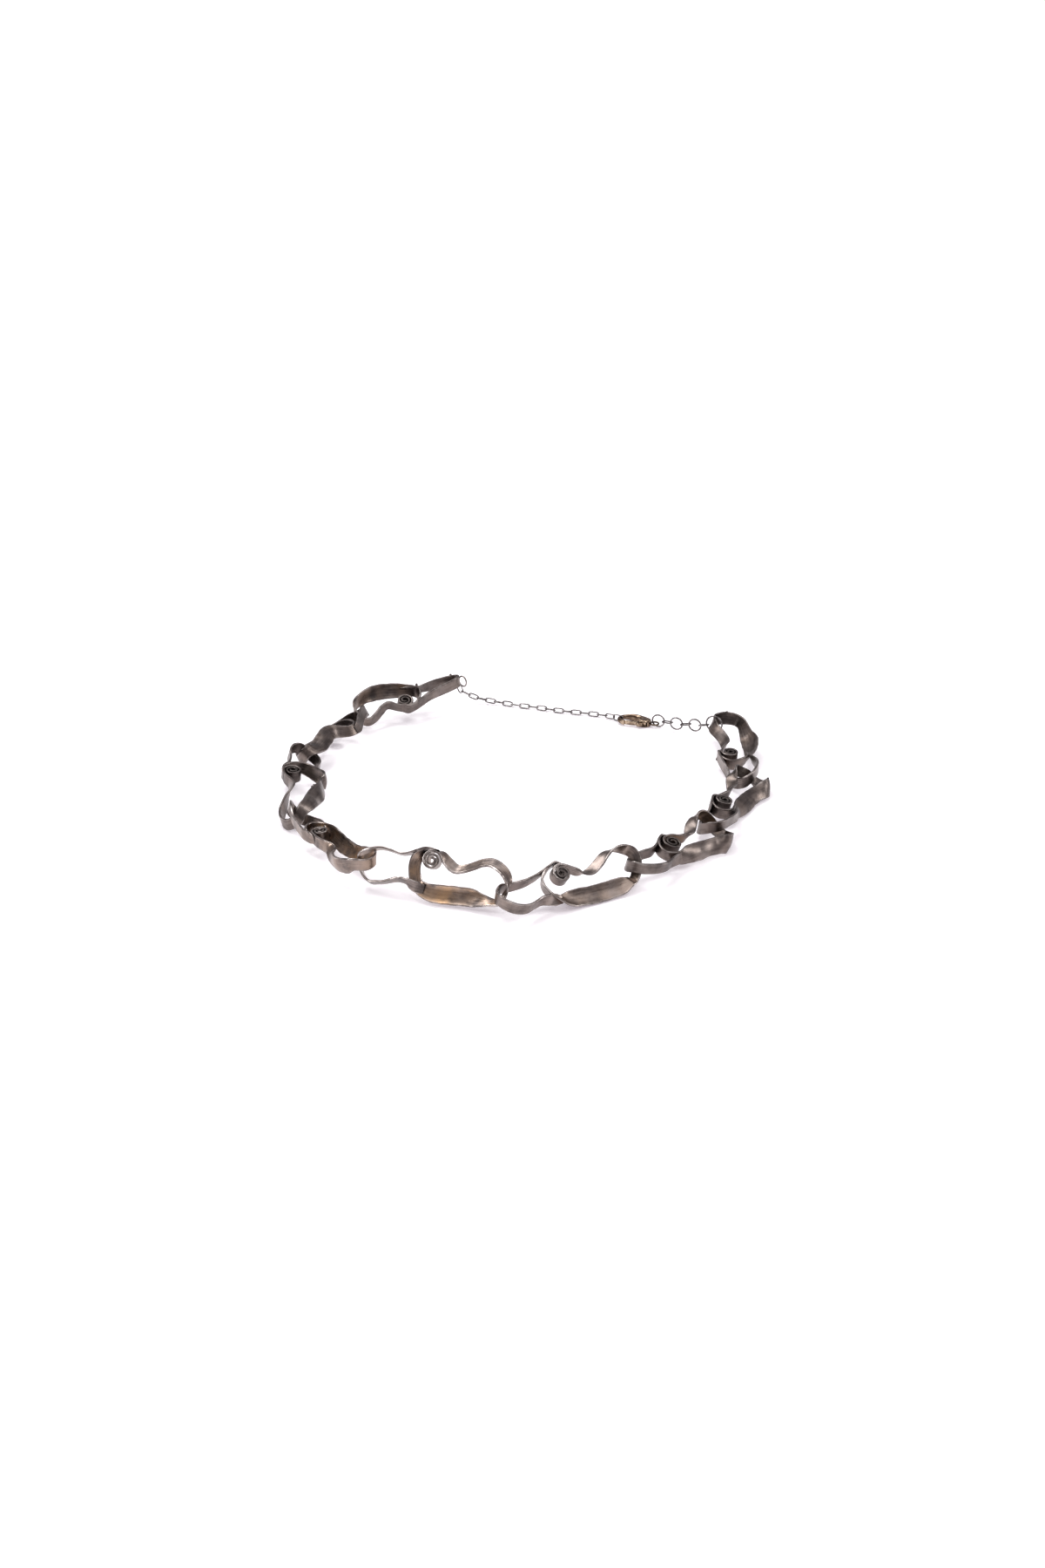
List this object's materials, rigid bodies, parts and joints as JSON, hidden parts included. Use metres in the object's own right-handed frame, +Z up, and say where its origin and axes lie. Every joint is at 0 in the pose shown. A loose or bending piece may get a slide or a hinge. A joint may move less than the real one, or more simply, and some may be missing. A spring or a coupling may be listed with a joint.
{
  "type": "choker necklace",
  "caption": "Choker of large hand-forged ribbon links with spiral rolls, closed by a fine chain, a lobster clasp and extender rings.",
  "frame": {"origin": "middle of the whole necklace's outline, on the surface it lies on", "axes": "+Z up, +Y to the chain and clasp at the back, +X to the extender's side"},
  "size_m": [0.1332, 0.1409, 0.0136],
  "materials": {
    "oxidised_silver": "satin",
    "dark_wire": "satin",
    "clasp_metal": "satin"
  },
  "bodies": {
    "necklace": {"link_1": "oxidised_silver", "link_2": "oxidised_silver", "link_3": "oxidised_silver", "link_4": "oxidised_silver", "link_5": "oxidised_silver", "link_6": "oxidised_silver", "link_7": "oxidised_silver", "link_8": "oxidised_silver", "link_9": "oxidised_silver", "chain": "dark_wire", "ring_1": "dark_wire", "ring_2": "dark_wire", "ring_3": "dark_wire", "ring_4": "dark_wire", "oval_1": "dark_wire", "oval_2": "dark_wire", "oval_3": "dark_wire", "clasp_body": "clasp_metal"},
    "lever": {"clasp_lever": "clasp_metal"}
  },
  "joints": [
    {"name": "lever_hinge", "type": "hinge", "parent": "necklace", "child": "lever", "pos_m": [0.03405, 0.05353, 0.0011], "axis": [0, 0, -1], "range_deg": [0, 16], "stiffness_Nm_per_rad": 0.002, "springref_deg": -5.73}
  ]
}
